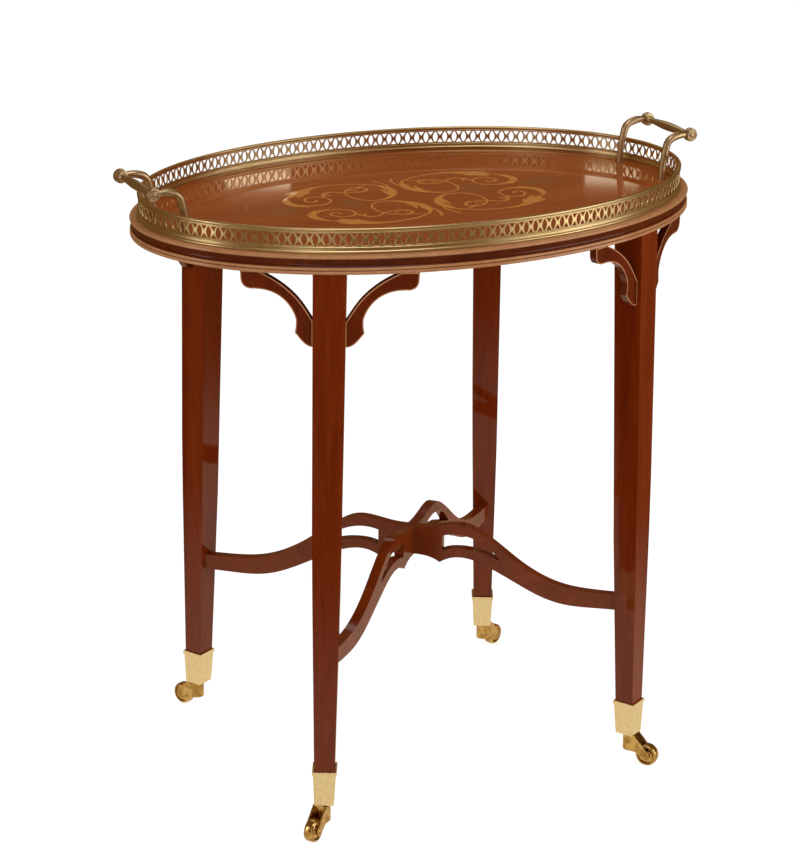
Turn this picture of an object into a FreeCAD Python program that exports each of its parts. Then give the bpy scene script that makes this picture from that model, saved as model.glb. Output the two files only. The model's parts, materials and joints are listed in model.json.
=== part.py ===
import FreeCAD, Part
import math
import os

from FreeCAD import Vector

# Oval tray top tea table, in millimetres.
# The long axis of the oval is X, the short axis is Y, +Z is up.
# The origin is on the floor under the middle of the oval.
# Front is -Y and left is -X.

# ---- heights of the layers, from the floor up ----
frameBottom = 694.0
seamHeight = 704.0
floorTop = 716.0
fretBottom = 724.0
fretTop = 739.5
rimTop = 745.0

# ---- the oval that both boards are cut to ----
ovalHalfLength = 347.2
ovalHalfWidth = 234.4
edgeReach = 9.8
seamReach = 7.2
veneerThickness = 1.0
veneerInset = 3.4

# ---- brass gallery ----
unitsPerQuarter = 37
fretOuter = -0.6
fretInner = -2.0
lensHalfWidth = 3.3
lensHalfHeight = 7.1
notchHalfWidth = 3.7
notchPoint = 1.8
notchBase = 7.0

# ---- hidden fixings of the top ----
galleryScrewCount = 12
galleryScrewRadius = 1.0
galleryScrewHead = 1.4
galleryScrewInset = -1.5
pegRadius = 4.0
pegClearance = 0.4
pegHeight = 5.0
pegPlaces = ((0, 190.0), (0, -190.0), (290.0, 0), (-290.0, 0))
screwRadius = 1.8
screwHeadRadius = 3.8
screwHeadDepth = 2.6
legScrewInset = 12.5
legScrewSpread = 9.0
legScrewLength = 42.0
bracketScrewPlace = 70.0
bracketScrewLength = 22.0

# ---- handles ----
handleHalfSpan = 49.0
gripReach = 360.0
gripHeight = 768.0
footReach = 320.0
footRadius = 4.0
footCollarRadius = 4.2
footCollarHeight = 0.8
footHoleRadius = 4.6
armRadius = 4.8
eyeRadius = 8.4
eyeWidth = 7.0
rosetteRadius = 7.4
seatClearance = 0.3
rosetteThickness = 2.2
rosetteShank = 1.6
rosetteShankLength = 19.0
gripMidRadius = 5.6
gripNeckRadius = 3.6
gripCollarRadius = 5.0
studRadius = 2.2
nutAcrossFlats = 8.0
nutThickness = 3.0
nutBottom = seamHeight + 1.0
nutRecessRadius = 6.0
nutRecessTop = seamHeight + 4.4

# ---- legs ----
legTurn = math.radians(28.0)
legTopX = 201.8
legTopY = 178.9
legFootX = 213.2
legFootY = 189.6
legFootZ = 84.4
legEndZ = 43.0
legWidths = ((694.0, 37.6), (500.0, 35.9), (340.0, 33.2), (220.0, 29.4), (84.4, 24.6))
legEndWidth = 20.4
tenonWidth = 14.0
tenonLength = 22.0
tenonHeight = 6.0

# ---- brackets ----
bracketThickness = 9.5
bracketFront = 14.6
bracketTurn = math.radians(7.0)
bracketLength = 82.5
bracketHeight = 85.5

# ---- crossed stretchers ----
stretcherThickness = 12.7
stretcherHeight = 214.5
legHalfAtStretcher = 14.6
halvingHeight = 272.5
halvingDepth = 30.0
dowelRadius = 4.0
dowelLength = 24.0

# ---- caster sockets, forks and wheels ----
socketBottom = 39.6
socketBottomWidth = 23.4
socketTopWidth = 27.2
lipBottom = 79.6
lipTop = 84.4
lipWidth = 29.3
forkTop = 39.2
spindleFoot = 26.0
forkHalfWidth = 9.0
crownCentre = 3.0
crownFoot = 17.4
cheekThickness = 2.2
cheekEndRadius = 5.8
wheelPocketStart = 12.0
casterTrail = 27.0
wheelRadius = 14.0
wheelHalfWidth = 6.4
wheelEdgeRadius = 2.4
axleRadius = 2.2
spindleRadius = 4.0
runningClearance = 0.05

legSides = {
    "front_left": (-1, -1),
    "rear_left": (-1, 1),
    "rear_right": (1, 1),
    "front_right": (1, -1),
}
casterHeading = {
    "front_left": -145.0,
    "rear_left": 112.0,
    "rear_right": 26.0,
    "front_right": -54.0,
}

origin = Vector(0, 0, 0)
up = Vector(0, 0, 1)
os.makedirs("parts", exist_ok=True)


def save(shape, node):
    solids = shape.Solids
    keep = solids[0] if len(solids) == 1 else Part.makeCompound(solids)
    if not keep.isValid():
        raise RuntimeError(node + " is not a valid solid")
    keep.exportStep("parts/" + node + ".step")
    print(node, len(solids), round(sum(s.Volume for s in solids)))


def mirrored(shape, sides):
    result = shape
    if sides[0] < 0:
        result = result.mirror(origin, Vector(1, 0, 0))
    if sides[1] < 0:
        result = result.mirror(origin, Vector(0, 1, 0))
    return result


def cylinder(radius, bottom, top, x=0.0, y=0.0):
    return Part.makeCylinder(radius, top - bottom, Vector(x, y, bottom))


# ---- pieces that follow the oval ----


def ovalPlate(halfLength, halfWidth, bottom, top):
    edge = Part.Ellipse(Vector(0, 0, bottom), halfLength, halfWidth).toShape()
    return Part.Face(Part.Wire([edge])).extrude(Vector(0, 0, top - bottom))


def section(steps):
    """A closed outline in the XZ plane; a step is a point, or an arc's middle and end."""
    start = Vector(ovalHalfLength + steps[0][0], 0, steps[0][1])
    here = start
    edges = []
    for step in steps[1:] + [steps[0]]:
        there = Vector(ovalHalfLength + step[-2], 0, step[-1])
        if len(step) == 4:
            middle = Vector(ovalHalfLength + step[0], 0, step[1])
            edges.append(Part.Arc(here, middle, there).toShape())
        elif here.distanceToPoint(there) > 1e-6:
            edges.append(Part.LineSegment(here, there).toShape())
        here = there
    return Part.Wire(edges)


def ovalRing(steps):
    """Sweep a section round the oval. Each step is (reach, height), reach from the oval."""
    spine = Part.Wire([Part.Ellipse(origin, ovalHalfLength, ovalHalfWidth).toShape()])
    sweep = Part.BRepOffsetAPI.MakePipeShell(spine)
    sweep.setBiNormalMode(up)
    sweep.add(section(steps))
    sweep.build()
    sweep.makeSolid()
    return sweep.shape()


def quarterStations(count):
    """Points and outward normals, evenly spaced along a quarter of the fret's middle line."""
    halfLength = ovalHalfLength + (fretOuter + fretInner) / 2
    halfWidth = ovalHalfWidth + (fretOuter + fretInner) / 2
    curve = Part.Ellipse(origin, halfLength, halfWidth)
    quarter = curve.toShape(0.0, math.pi / 2)
    points = quarter.discretize(Number=count + 1)
    stations = []
    for point in points:
        outward = Vector(point.x / halfLength**2, point.y / halfWidth**2, 0).normalize()
        stations.append((point, outward))
    return stations


def placedAt(shape, station):
    point, outward = station
    along = up.cross(outward)
    matrix = FreeCAD.Matrix(
        outward.x, along.x, 0, point.x,
        outward.y, along.y, 0, point.y,
        0, 0, 1, (fretBottom + fretTop) / 2,
        0, 0, 0, 1,
    )
    return shape.transformed(matrix)


def fretHoles():
    """The pointed oval between two crossings, and the notches above and below a crossing."""
    depth = 8.0
    foot = Vector(-depth / 2, 0, -lensHalfHeight)
    head = Vector(-depth / 2, 0, lensHalfHeight)
    right = Part.Arc(foot, Vector(-depth / 2, lensHalfWidth, 0), head).toShape()
    left = Part.Arc(head, Vector(-depth / 2, -lensHalfWidth, 0), foot).toShape()
    lens = Part.Face(Part.Wire([right, left])).extrude(Vector(depth, 0, 0))
    notches = []
    for side in (1, -1):
        corners = [
            Vector(-depth / 2, 0, side * notchPoint),
            Vector(-depth / 2, notchHalfWidth, side * notchBase),
            Vector(-depth / 2, -notchHalfWidth, side * notchBase),
        ]
        outline = Part.makePolygon(corners + corners[:1])
        notches.append(Part.Face(outline).extrude(Vector(depth, 0, 0)))
    return lens, notches


def galleryFret():
    ring = ovalRing([
        (fretInner, fretBottom),
        (fretOuter, fretBottom),
        (fretOuter, fretTop),
        (fretInner, fretTop),
    ])
    reach = ovalHalfLength + 20
    quarter = ring.common(Part.makeBox(reach, reach, rimTop))
    lens, notches = fretHoles()
    stations = quarterStations(2 * unitsPerQuarter)
    holes = [placedAt(lens, station) for station in stations[1::2]]
    for notch in notches:
        holes += [placedAt(notch, station) for station in stations[0::2]]
    quarter = quarter.cut(holes)
    half = quarter.fuse(quarter.mirror(origin, Vector(1, 0, 0)))
    return half.fuse(half.mirror(origin, Vector(0, 1, 0)))


# ---- tray ----


def postLine():
    """The middle line of a handle post, from the tray floor to the eye that holds the grip."""
    shoulder = Vector(324.4, handleHalfSpan, 751.0)
    knee = Vector(329.0, handleHalfSpan, 762.8)
    arm = Vector(341.0, handleHalfSpan, 768.2)
    end = Vector(gripReach - 3, handleHalfSpan, gripHeight + 0.8)
    foot = Vector(footReach, handleHalfSpan, floorTop)
    curve = Part.BSplineCurve()
    curve.interpolate([foot, Vector(321.6, handleHalfSpan, 735.0), shoulder, knee, arm, end])
    return curve


def handlePost():
    line = postLine()
    first = line.tangent(line.FirstParameter)[0]
    last = line.tangent(line.LastParameter)[0]
    footRing = Part.Circle(line.StartPoint, first, footRadius).toShape()
    armRing = Part.Circle(line.EndPoint, last, armRadius).toShape()
    sweep = Part.BRepOffsetAPI.MakePipeShell(Part.Wire([line.toShape()]))
    sweep.add(Part.Wire([footRing]))
    sweep.add(Part.Wire([armRing]))
    sweep.build()
    sweep.makeSolid()
    post = sweep.shape()
    post = post.cut(Part.makeBox(40, 20, 10, Vector(footReach - 20, handleHalfSpan - 10, floorTop - 10)))
    eyeStart = Vector(gripReach, handleHalfSpan - eyeWidth / 2, gripHeight)
    eye = Part.makeCylinder(eyeRadius, eyeWidth, eyeStart, Vector(0, 1, 0))
    bore = Part.makeCylinder(rosetteShank, eyeWidth + 2, eyeStart - Vector(0, 1, 0), Vector(0, 1, 0))
    eyeEnd = eyeStart + Vector(0, eyeWidth, 0)
    capSeat = Part.makeCylinder(rosetteRadius + seatClearance, 8, eyeEnd, Vector(0, 1, 0))
    gripSeat = Part.makeCylinder(gripCollarRadius + seatClearance, 8, eyeStart, Vector(0, -1, 0))
    post = post.cut([capSeat, gripSeat])
    boardTop = floorTop - veneerThickness
    collar = cylinder(
        footCollarRadius, boardTop, floorTop + footCollarHeight, footReach, handleHalfSpan)
    stud = cylinder(studRadius, nutBottom, boardTop + 0.5, footReach, handleHalfSpan)
    return post.fuse([eye, collar, stud]).cut(bore)


def rosette():
    outerFace = handleHalfSpan + eyeWidth / 2
    start = Vector(gripReach, outerFace, gripHeight)
    disc = Part.makeCylinder(rosetteRadius, rosetteThickness, start, Vector(0, 1, 0))
    ringStart = start + Vector(0, rosetteThickness - 0.8, 0)
    groove = Part.makeCylinder(5.6, 0.8, ringStart, Vector(0, 1, 0))
    boss = Part.makeCylinder(3.2, rosetteThickness, start, Vector(0, 1, 0))
    inner = outerFace - rosetteShankLength
    shank = Part.makeCylinder(
        rosetteShank, rosetteShankLength, Vector(gripReach, inner, gripHeight), Vector(0, 1, 0))
    return disc.cut(groove).fuse([boss, shank])


def handleGrip():
    """A turned spindle between the two eyes, thickest in the middle."""
    half = handleHalfSpan - eyeWidth / 2
    collarLength = 3.0
    neckPlace = 8.0
    start = Vector(gripReach, -half, gripHeight)
    profile = Part.BSplineCurve()
    profile.interpolate([
        Vector(gripReach + gripCollarRadius - 0.6, -half + collarLength, gripHeight),
        Vector(gripReach + gripNeckRadius, -half + neckPlace, gripHeight),
        Vector(gripReach + gripMidRadius, 0, gripHeight),
        Vector(gripReach + gripNeckRadius, half - neckPlace, gripHeight),
        Vector(gripReach + gripCollarRadius - 0.6, half - collarLength, gripHeight),
    ])
    corners = [
        profile.EndPoint,
        Vector(gripReach + gripCollarRadius, half - collarLength, gripHeight),
        Vector(gripReach + gripCollarRadius, half, gripHeight),
        Vector(gripReach, half, gripHeight),
        start,
        Vector(gripReach + gripCollarRadius, -half, gripHeight),
        Vector(gripReach + gripCollarRadius, -half + collarLength, gripHeight),
        profile.StartPoint,
    ]
    edges = [profile.toShape()]
    edges += [Part.LineSegment(a, b).toShape() for a, b in zip(corners, corners[1:])]
    spindle = Part.Face(Part.Wire(edges)).revolve(start, Vector(0, 1, 0), 360)
    depth = rosetteShankLength - eyeWidth
    bores = [
        Part.makeCylinder(rosetteShank, depth, start, Vector(0, 1, 0)),
        Part.makeCylinder(
            rosetteShank, depth, Vector(gripReach, half - depth, gripHeight), Vector(0, 1, 0)),
    ]
    return spindle.cut(bores)


def hexNut(x, y):
    corners = []
    for side in range(7):
        angle = math.radians(60 * side)
        reach = nutAcrossFlats / math.sqrt(3)
        corners.append(Vector(x + reach * math.cos(angle), y + reach * math.sin(angle), nutBottom))
    nut = Part.Face(Part.makePolygon(corners)).extrude(Vector(0, 0, nutThickness))
    return nut.cut(cylinder(studRadius, nutBottom - 1, nutBottom + nutThickness + 1, x, y))


def galleryScrew(index):
    angle = 2 * math.pi * (index + 0.5) / galleryScrewCount
    x = (ovalHalfLength + galleryScrewInset) * math.cos(angle)
    y = (ovalHalfWidth + galleryScrewInset) * math.sin(angle)
    head = Part.makeCone(galleryScrewHead, galleryScrewRadius, 1.6, Vector(x, y, seamHeight))
    return head.fuse(cylinder(galleryScrewRadius, seamHeight + 1.6, floorTop + 4, x, y))


def buildTray():
    corners = [(sx * footReach, sy * handleHalfSpan) for sx in (1, -1) for sy in (1, -1)]
    screws = [galleryScrew(index) for index in range(galleryScrewCount)]
    studHoles = [cylinder(studRadius, seamHeight - 1, floorTop + 1, x, y) for x, y in corners]
    footHoles = [cylinder(footHoleRadius, seamHeight, floorTop + 1, x, y) for x, y in corners]
    nutRecesses = [cylinder(nutRecessRadius, seamHeight - 1, nutRecessTop, x, y) for x, y in corners]
    pegHoles = [
        cylinder(pegRadius + pegClearance, seamHeight - 1, seamHeight + pegHeight + 1, x, y)
        for x, y in pegPlaces
    ]
    veneer = ovalPlate(
        ovalHalfLength - veneerInset, ovalHalfWidth - veneerInset, floorTop - veneerThickness, floorTop)
    board = ovalPlate(ovalHalfLength, ovalHalfWidth, seamHeight, floorTop)
    board = board.cut([veneer] + screws + studHoles + nutRecesses + pegHoles)
    save(board, "tray_board")
    save(veneer.cut(footHoles), "marquetry_panel")

    edge = ovalRing([
        (0, seamHeight),
        (seamReach, seamHeight),
        (edgeReach - 2.2, seamHeight + 3.4, edgeReach - 1.4, seamHeight + 7.4),
        (edgeReach, seamHeight + 9.4, edgeReach - 1.6, seamHeight + 11.4),
        (3.2, floorTop),
        (0.9, floorTop),
        (0, floorTop),
    ])
    save(edge, "tray_edge_moulding")

    base = ovalRing([
        (-3.2, floorTop),
        (0.9, floorTop),
        (1.4, floorTop + 1.4, 0.9, floorTop + 2.8),
        (0.1, floorTop + 3.4),
        (0.1, floorTop + 6.4),
        (0.5, floorTop + 7.2, 0.1, fretBottom),
        (-2.6, fretBottom),
        (-2.6, floorTop + 3.0),
        (-3.2, floorTop + 2.2),
    ])
    save(base.cut(screws), "gallery_base_rail")
    save(galleryFret(), "gallery_fret")
    rail = ovalRing([
        (-2.6, fretTop),
        (0.0, fretTop),
        (0.0, fretTop + 2.0),
        (0.6, fretTop + 3.8, -1.3, rimTop),
        (-3.2, fretTop + 3.8, -2.6, fretTop + 2.0),
    ])
    save(rail, "gallery_top_rail")
    save(Part.makeCompound(screws), "gallery_screws")

    post = handlePost()
    for end, sx in (("left", -1), ("right", 1)):
        for side, sy in (("front", -1), ("rear", 1)):
            save(mirrored(post, (sx, sy)), end + "_" + side + "_handle_post")
        save(mirrored(handleGrip(), (sx, 1)), end + "_handle_grip")
        pair = [mirrored(rosette(), (sx, sy)) for sy in (-1, 1)]
        save(Part.makeCompound(pair), end + "_handle_rosettes")
    save(Part.makeCompound([hexNut(x, y) for x, y in corners]), "handle_nuts")


# ---- legs and what is fixed to them, all shaped at the rear right leg ----


def legCentre(height):
    share = (frameBottom - height) / (frameBottom - legFootZ)
    x = legTopX + (legFootX - legTopX) * share
    y = legTopY + (legFootY - legTopY) * share
    return Vector(x, y, height)


outward = Vector(math.sin(legTurn), math.cos(legTurn), 0)
sideways = Vector(math.cos(legTurn), -math.sin(legTurn), 0)


def legPoint(height, out, side):
    return legCentre(height) + outward * out + sideways * side


def legSquare(height, width, depth=None):
    half = width / 2
    deep = half if depth is None else depth / 2
    corners = [
        legPoint(height, deep, half),
        legPoint(height, -deep, half),
        legPoint(height, -deep, -half),
        legPoint(height, deep, -half),
    ]
    return Part.makePolygon(corners + corners[:1])


def legShaft():
    """The visible taper, gentle at the top and quicker towards the foot, and its end in the socket."""
    shaft = Part.makeLoft([legSquare(height, width) for height, width in legWidths], True)
    lastWidth = legWidths[-1][1]
    end = Part.makeLoft([legSquare(legFootZ, lastWidth), legSquare(legEndZ, legEndWidth)], True)
    return shaft.fuse(end)


def legTenon():
    outline = legSquare(frameBottom, tenonLength, tenonWidth)
    return Part.Face(outline).extrude(Vector(0, 0, tenonHeight))


def woodScrew(place, length):
    top = Vector(place.x, place.y, seamHeight)
    head = Part.makeCone(screwHeadRadius, screwRadius, screwHeadDepth, top, Vector(0, 0, -1))
    shank = Part.makeCylinder(
        screwRadius, length - screwHeadDepth - 3, top - Vector(0, 0, screwHeadDepth), Vector(0, 0, -1))
    pointTop = top - Vector(0, 0, length - 3)
    point = Part.makeCone(screwRadius, 0.4, 3, pointTop, Vector(0, 0, -1))
    return head.fuse([shank, point])


def legScrews():
    return [woodScrew(legPoint(frameBottom, -legScrewInset, side), legScrewLength)
            for side in (legScrewSpread, -legScrewSpread)]


def bracketPoint(along, height, depth, side):
    """along runs from the leg's face to the tip, depth is inwards from the bracket's front."""
    legHalf = legWidths[0][1] / 2
    direction = sideways * math.cos(bracketTurn) * side - outward * math.sin(bracketTurn)
    inward = sideways * math.sin(bracketTurn) * -side - outward * math.cos(bracketTurn)
    start = legCentre(frameBottom) + sideways * side * legHalf + outward * bracketFront
    place = start + direction * along + inward * depth
    return Vector(place.x, place.y, height)


def bracketOutline(depth, side):
    """An S-shaped bracket: a blunt tip under the frame, a sweep down, and a foot on the leg."""
    top = frameBottom
    inLeg = -6.0

    def at(along, drop):
        return bracketPoint(along, top - drop, depth, side)

    def curve(points):
        spline = Part.BSplineCurve()
        spline.interpolate([at(*point) for point in points])
        return spline.toShape()

    def line(first, second):
        return Part.LineSegment(at(*first), at(*second)).toShape()

    tip = (bracketLength, 0)
    tipEnd = (bracketLength - 0.6, 10)
    tipFoot = (bracketLength - 12, 20.6)
    waist = (19.4, 53.5)
    toe = (20.6, 69.5)
    heel = (0.0, bracketHeight)
    shoulder = (0.0, 55)
    return Part.Wire([
        line((62, 0), tip),
        line(tip, tipEnd),
        curve([tipEnd, (bracketLength - 3.6, 17), tipFoot]),
        curve([tipFoot, (58, 20.8), (46, 23.6), (35, 29.8), (25.5, 40.2), waist]),
        curve([waist, (19.4, 61.5), toe]),
        curve([toe, (14, 77.5), (7, 83.6), heel]),
        line(heel, (inLeg, bracketHeight)),
        line((inLeg, bracketHeight), (inLeg, 55)),
        line((inLeg, 55), shoulder),
        curve([shoulder, (7, 44.2), (15.5, 32.4), (27, 20.8), (42, 10), (62, 0)]),
    ])


def bracket(side, leg):
    front = Part.Face(bracketOutline(0, side))
    through = bracketPoint(0, 0, bracketThickness, side) - bracketPoint(0, 0, 0, side)
    return front.extrude(through).cut(leg)


def bracketScrew(side):
    place = bracketPoint(bracketScrewPlace, frameBottom, bracketThickness / 2, side)
    return woodScrew(place, bracketScrewLength)


# ---- stretchers ----

# a stretcher points at the middle of the leg's inner face
stretcherEnd = legPoint(stretcherHeight, -legHalfAtStretcher, 0)
stretcherAngle = math.degrees(math.atan2(stretcherEnd.y, stretcherEnd.x))
stretcherReach = math.hypot(stretcherEnd.x, stretcherEnd.y) + stretcherThickness / 2


def mirroredPoints(points):
    return [(-x, z) for x, z in reversed(points) if x > 0] + points


def flatCurve(points):
    spline = Part.BSplineCurve()
    spline.interpolate([Vector(x, -stretcherThickness / 2, z) for x, z in points])
    return spline.toShape()


def flatLine(first, second):
    a = Vector(first[0], -stretcherThickness / 2, first[1])
    b = Vector(second[0], -stretcherThickness / 2, second[1])
    return Part.LineSegment(a, b).toShape()


def crescentSlot(side):
    """The long opening beside the crossing, square at its inner end and pointed at the outer."""
    tip = (115.5, 256)
    upper = [(41.5, 282), (52, 284.4), (65, 284.8), (78, 282.4), (90, 277.6), (103, 269), tip]
    lower = [(41.5, 262.2), (52, 265.8), (65, 267), (78, 266.4), (90, 264.2), (103, 259.8), tip]
    upper = [(side * x, z) for x, z in upper]
    lower = [(side * x, z) for x, z in lower]
    outline = Part.Wire([
        flatCurve(upper),
        flatCurve(list(reversed(lower))),
        flatLine(lower[0], upper[0]),
    ])
    return Part.Face(outline).extrude(Vector(0, stretcherThickness, 0))


def stretcherBlank(angle):
    """A serpentine board along X with two crests, a cusp under each, and crescent slots."""
    end = stretcherReach
    top = [(0, 291.2), (25, 292.6), (44, 296.2), (62, 298.6), (76, 296.6), (92, 288.6),
           (112, 275), (138, 255.6), (165, 239.6), (193, 229.4), (222, 225.4), (end, 224.6)]
    cusp = (38, 245.8)
    outer = [cusp, (44, 249.4), (54, 253.4), (67, 254.8), (83, 252.2), (104, 243.8),
             (127, 232.4), (150, 220.6), (172, 211.2), (196, 205.2), (222, 203.8), (end, 204.2)]
    inner = [(-cusp[0], cusp[1]), (-28, 251), (-14, 253.8), (0, 254),
             (14, 253.8), (28, 251), cusp]
    outline = Part.Wire([
        flatCurve(mirroredPoints(top)),
        flatLine(top[-1], outer[-1]),
        flatCurve(list(reversed(outer))),
        flatCurve(list(reversed(inner))),
        flatCurve([(-x, z) for x, z in outer]),
        flatLine((-outer[-1][0], outer[-1][1]), (-top[-1][0], top[-1][1])),
    ])
    board = Part.Face(outline).extrude(Vector(0, stretcherThickness, 0))
    board = board.cut([crescentSlot(1), crescentSlot(-1)])
    board.rotate(origin, up, angle)
    return board


def halvingNotch(angle, bottom):
    """The room that one board takes out of the other where they cross."""
    length = 3 * stretcherThickness
    corner = Vector(-length / 2, -stretcherThickness / 2, bottom)
    notch = Part.makeBox(length, stretcherThickness, halvingDepth, corner)
    notch.rotate(origin, up, angle)
    return notch


def stretcherDowel():
    toCentre = Vector(-stretcherEnd.x, -stretcherEnd.y, 0).normalize()
    start = stretcherEnd - toCentre * dowelLength / 2
    return Part.makeCylinder(dowelRadius, dowelLength, start, toCentre)


# ---- casters, shaped with the swivel axis on Z and the wheel trailing along +X ----


def frustum(bottom, bottomWidth, top, topWidth):
    return Part.makeLoft([legSquare(bottom, bottomWidth), legSquare(top, topWidth)], True)


def casterSocket(leg):
    axis = legCentre(socketBottom)
    cup = frustum(socketBottom, socketBottomWidth, lipBottom, socketTopWidth)
    lip = Part.Face(legSquare(lipBottom, lipWidth)).extrude(Vector(0, 0, lipTop - lipBottom))
    bore = cylinder(spindleRadius + runningClearance, socketBottom - 1, legEndZ + 1, axis.x, axis.y)
    return cup.fuse(lip).cut([leg, bore])


def tangentPoint(outside, radius, turn):
    """Where a line from a point outside a circle about the origin touches it, in the XZ plane."""
    angle = math.acos(radius / outside.Length)
    ray = Vector(outside).normalize() * radius
    across = Vector(ray.z, 0, -ray.x) * turn
    return ray * math.cos(angle) + across * math.sin(angle)


def sideOutline():
    """The fork seen from its side: a deep crown and two arms that taper to round ends at the axle."""
    back = forkHalfWidth - crownCentre + 1
    hood = Vector(11.5, 0, forkTop)
    low = Vector(13.0, 0, crownFoot)
    axle = Vector(casterTrail, 0, wheelRadius)
    rearTop = axle + tangentPoint(hood - axle, cheekEndRadius, 1)
    rear = axle + Vector(cheekEndRadius, 0, 0)
    rearFoot = axle + tangentPoint(low - axle, cheekEndRadius, -1)
    start = Vector(-back, 0, forkTop)
    corner = Vector(-back, 0, crownFoot)
    return Part.Wire([
        Part.LineSegment(start, hood).toShape(),
        Part.LineSegment(hood, rearTop).toShape(),
        Part.Arc(rearTop, rear, rearFoot).toShape(),
        Part.LineSegment(rearFoot, low).toShape(),
        Part.LineSegment(low, corner).toShape(),
        Part.LineSegment(corner, start).toShape(),
    ])


def planOutline():
    """The fork seen from above: a half round crown and two straight cheeks."""
    half = forkHalfWidth
    far = casterTrail + wheelRadius + 6
    front = Part.Arc(
        Vector(crownCentre, half, 0), Vector(crownCentre - half, 0, 0), Vector(crownCentre, -half, 0))
    corners = [
        Vector(crownCentre, -half, 0),
        Vector(far, -half, 0),
        Vector(far, half, 0),
        Vector(crownCentre, half, 0),
    ]
    edges = [front.toShape()]
    edges += [Part.LineSegment(a, b).toShape() for a, b in zip(corners, corners[1:])]
    return Part.Wire(edges)


def forkShape():
    side = Part.Face(sideOutline())
    side.translate(Vector(0, -20, 0))
    body = side.extrude(Vector(0, 40, 0))
    body = body.common(Part.Face(planOutline()).extrude(Vector(0, 0, forkTop + 5)))
    gap = 2 * (forkHalfWidth - cheekThickness)
    pocket = Part.makeBox(40, gap, forkTop + 5, Vector(wheelPocketStart, -gap / 2, 0))
    axleHole = Part.makeCylinder(axleRadius, 40, Vector(casterTrail, -20, wheelRadius), Vector(0, 1, 0))
    spindleHole = cylinder(spindleRadius, spindleFoot, forkTop + 5)
    return body.cut([pocket, axleHole, spindleHole])


def spindleShape():
    collarBottom = legEndZ + 0.2
    shaft = cylinder(spindleRadius, spindleFoot, collarBottom + 1)
    return shaft.fuse(cylinder(spindleRadius + 1.8, collarBottom, collarBottom + 1.8))


def axleShape():
    capRadius = 3.3
    reach = forkHalfWidth + 1.0
    start = Vector(casterTrail, -forkHalfWidth, wheelRadius)
    pin = Part.makeCylinder(axleRadius, 2 * forkHalfWidth, start, Vector(0, 1, 0))
    caps = []
    for side in (1, -1):
        place = Vector(casterTrail, side * forkHalfWidth, wheelRadius)
        direction = Vector(0, side, 0)
        caps.append(Part.makeCone(capRadius, capRadius - 1, reach - forkHalfWidth, place, direction))
    return pin.fuse(caps)


def wheelShape():
    start = Vector(casterTrail, -wheelHalfWidth, wheelRadius)
    wheel = Part.makeCylinder(wheelRadius, 2 * wheelHalfWidth, start, Vector(0, 1, 0))
    rims = [edge for edge in wheel.Edges if edge.Closed and edge.Curve.TypeId == "Part::GeomCircle"]
    wheel = wheel.makeFillet(wheelEdgeRadius, rims)
    bore = Part.makeCylinder(
        axleRadius + runningClearance, 2 * wheelHalfWidth + 2, start - Vector(0, 1, 0), Vector(0, 1, 0))
    return wheel.cut(bore)


def atCaster(shape, corner):
    axis = legCentre(socketBottom)
    sx, sy = legSides[corner]
    placed = shape.copy()
    placed.rotate(origin, up, casterHeading[corner])
    placed.translate(Vector(sx * axis.x, sy * axis.y, 0))
    return placed


def buildStand():
    leg = legShaft()
    spindleRoom = cylinder(
        spindleRadius + 2.6, legEndZ - 1, legEndZ + 4, legCentre(legEndZ).x, legCentre(legEndZ).y)
    dowel = stretcherDowel()
    tenoned = leg.fuse(legTenon()).cut([spindleRoom, dowel] + legScrews())
    endBracket = bracket(1, leg)
    sideBracket = bracket(-1, leg)

    legGroup = []
    bracketGroup = []
    mortises = []
    for corner, sides in legSides.items():
        save(mirrored(tenoned, sides), "leg_" + corner)
        save(mirrored(endBracket.cut(bracketScrew(1)), sides), "bracket_" + corner + "_end")
        save(mirrored(sideBracket.cut(bracketScrew(-1)), sides), "bracket_" + corner + "_side")
        save(mirrored(casterSocket(leg), sides), "caster_socket_" + corner)
        legGroup += [mirrored(screw, sides) for screw in legScrews()]
        bracketGroup += [mirrored(bracketScrew(side), sides) for side in (1, -1)]
        mortises.append(mirrored(legTenon(), sides))
    save(Part.makeCompound(legGroup), "leg_screws")
    save(Part.makeCompound(bracketGroup), "bracket_screws")

    pegs = [cylinder(pegRadius, seamHeight - 6, seamHeight + pegHeight, x, y) for x, y in pegPlaces]
    board = ovalPlate(ovalHalfLength, ovalHalfWidth, frameBottom, seamHeight)
    board = board.cut(mortises + legGroup + bracketGroup + pegs)
    save(board, "top_frame")
    save(Part.makeCompound(pegs), "locating_pegs")
    bead = ovalRing([
        (0, frameBottom),
        (edgeReach - 2.4, frameBottom),
        (edgeReach, frameBottom + 2.2, edgeReach - 1.6, frameBottom + 4.4),
        (edgeReach - 0.2, frameBottom + 6.2, edgeReach - 1.6, frameBottom + 8.0),
        (seamReach, seamHeight),
        (0, seamHeight),
    ])
    save(bead.cut(bracketGroup), "frieze_bead")

    legs = [mirrored(leg, sides) for sides in legSides.values()]
    dowels = [mirrored(dowel, sides) for sides in legSides.values()]
    under = stretcherBlank(stretcherAngle).cut(legs).cut(dowels)
    under = under.cut(halvingNotch(-stretcherAngle, halvingHeight))
    over = stretcherBlank(-stretcherAngle).cut(legs).cut(dowels)
    over = over.cut(halvingNotch(stretcherAngle, halvingHeight - halvingDepth))
    save(under, "stretcher_front_left_to_rear_right")
    save(over, "stretcher_rear_left_to_front_right")
    save(Part.makeCompound(dowels), "stretcher_dowels")


def buildCasters():
    for corner in legSides:
        save(atCaster(forkShape(), corner), "caster_fork_" + corner)
        save(atCaster(spindleShape(), corner), "caster_spindle_" + corner)
        save(atCaster(axleShape(), corner), "caster_axle_" + corner)
        save(atCaster(wheelShape(), corner), "caster_wheel_" + corner)


buildTray()
buildStand()
buildCasters()
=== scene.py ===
import json
import math

import bpy
from mathutils import Matrix, Vector

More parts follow.
